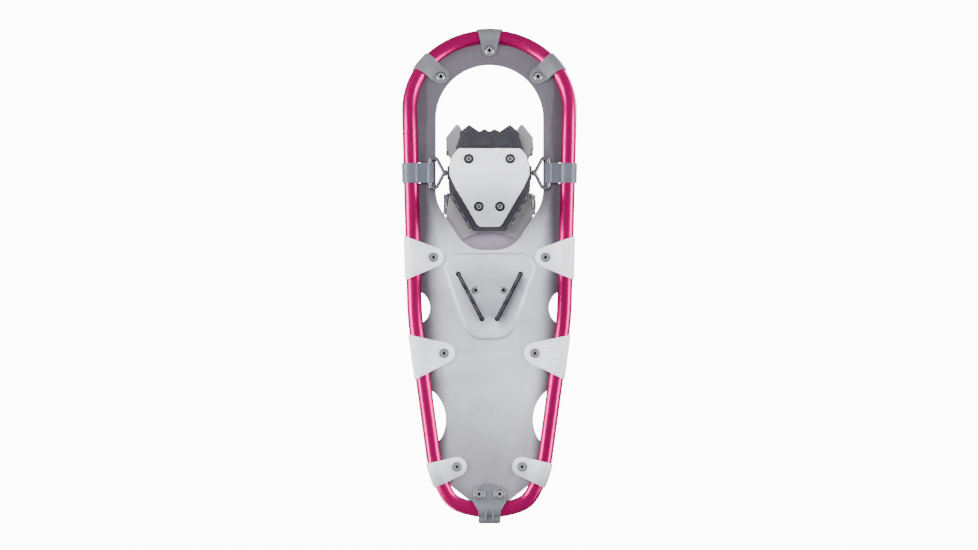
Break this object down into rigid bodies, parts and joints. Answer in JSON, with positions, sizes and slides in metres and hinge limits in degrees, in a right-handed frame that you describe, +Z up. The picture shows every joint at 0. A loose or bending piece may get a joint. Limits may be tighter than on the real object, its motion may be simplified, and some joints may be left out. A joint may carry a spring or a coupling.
{
  "type": "snowshoe",
  "caption": "Tapered tubular-frame snowshoe with riveted sheet deck, pivoting toe crampon binding, heel crampon and buckled straps.",
  "frame": {"origin": "below the middle of the shoe, at the height of the crampon tooth tips", "axes": "+Y towards the toe, +X to the wearer's right, +Z up"},
  "size_m": [0.2246, 0.6338, 0.1471],
  "materials": {
    "magenta_tube": "satin anodised",
    "deck_sheet": "satin sheet",
    "white_clip": "satin",
    "grey_clip": "satin",
    "dark_moulding": "satin moulded",
    "rivet_metal": "satin",
    "webbing": "coated webbing",
    "bright_wire": "polished",
    "crampon_steel": "powder coated steel",
    "bolt_steel": "brushed",
    "ice_plate_white": "smooth moulded",
    "harness_grey": "flexible moulded",
    "footbed_grey": "textured",
    "strap_dark": "flexible moulded",
    "pad_foam": "padded cloth",
    "buckle_plastic": "moulded",
    "aluminium_plug": "plain"
  },
  "bodies": {
    "root": {"frame_tube": "magenta_tube", "frame_splice": "aluminium_plug", "deck": "deck_sheet", "mid_clip_left": "white_clip", "mid_clip_right": "white_clip", "rear_clip_left": "white_clip", "rear_clip_right": "white_clip", "tail_clip_left": "white_clip", "tail_clip_right": "white_clip", "toe_center_clip": "grey_clip", "toe_side_clip_left": "grey_clip", "toe_side_clip_right": "grey_clip", "tail_bracket": "dark_moulding", "side_clip_rivets": "rivet_metal", "tail_clip_rivets": "rivet_metal", "toe_clip_rivets": "rivet_metal", "tail_rivets": "rivet_metal", "tail_washers": "rivet_metal", "hinge_strap_left": "webbing", "hinge_strap_right": "webbing", "pivot_ring_left": "bright_wire", "pivot_ring_right": "bright_wire", "pivot_stem_head_left": "bolt_steel", "pivot_stem_head_right": "bolt_steel", "heel_crampon": "crampon_steel", "heel_crampon_rivets": "rivet_metal", "heel_pad": "footbed_grey"},
    "binding": {"toe_crampon": "crampon_steel", "ice_plate": "ice_plate_white", "binding_riser": "dark_moulding", "binding_bolts": "bolt_steel", "binding_nuts": "bolt_steel", "bolt_washers": "strap_dark", "harness_base": "harness_grey", "footbed": "footbed_grey", "toe_strap": "strap_dark", "instep_strap": "strap_dark", "strap_rivets": "rivet_metal", "heel_strap_pivots": "rivet_metal", "toe_buckle_base": "buckle_plastic", "toe_buckle_pin": "bolt_steel", "instep_buckle_base": "buckle_plastic", "instep_buckle_pin": "bolt_steel"},
    "toe_lever": {"toe_buckle_lever": "buckle_plastic"},
    "instep_lever": {"instep_buckle_lever": "buckle_plastic"},
    "heel_strap": {"heel_strap": "strap_dark", "heel_strap_pad": "pad_foam", "heel_buckle_base": "buckle_plastic", "heel_buckle_pin": "bolt_steel"},
    "heel_lever": {"heel_buckle_lever": "buckle_plastic"}
  },
  "joints": [
    {"name": "binding_pivot", "type": "hinge", "parent": "root", "child": "binding", "pos_m": [0, 0.131, 0.0325], "axis": [-1, 0, 0], "range_deg": [0, 80]},
    {"name": "heel_strap_swing", "type": "hinge", "parent": "binding", "child": "heel_strap", "pos_m": [0, 0.0655, 0.08315], "axis": [-1, 0, 0], "range_deg": [0, 45]},
    {"name": "toe_buckle_open", "type": "hinge", "parent": "binding", "child": "toe_lever", "pos_m": [-0.003, 0.165, 0.11463], "axis": [0, -1, 0], "range_deg": [0, 100]},
    {"name": "instep_buckle_open", "type": "hinge", "parent": "binding", "child": "instep_lever", "pos_m": [-0.003, 0.091, 0.1431], "axis": [0, -1, 0], "range_deg": [0, 100]},
    {"name": "heel_buckle_open", "type": "hinge", "parent": "heel_strap", "child": "heel_lever", "pos_m": [0.05714, -0.01217, 0.08315], "axis": [0, 0, -1], "range_deg": [0, 100]}
  ]
}
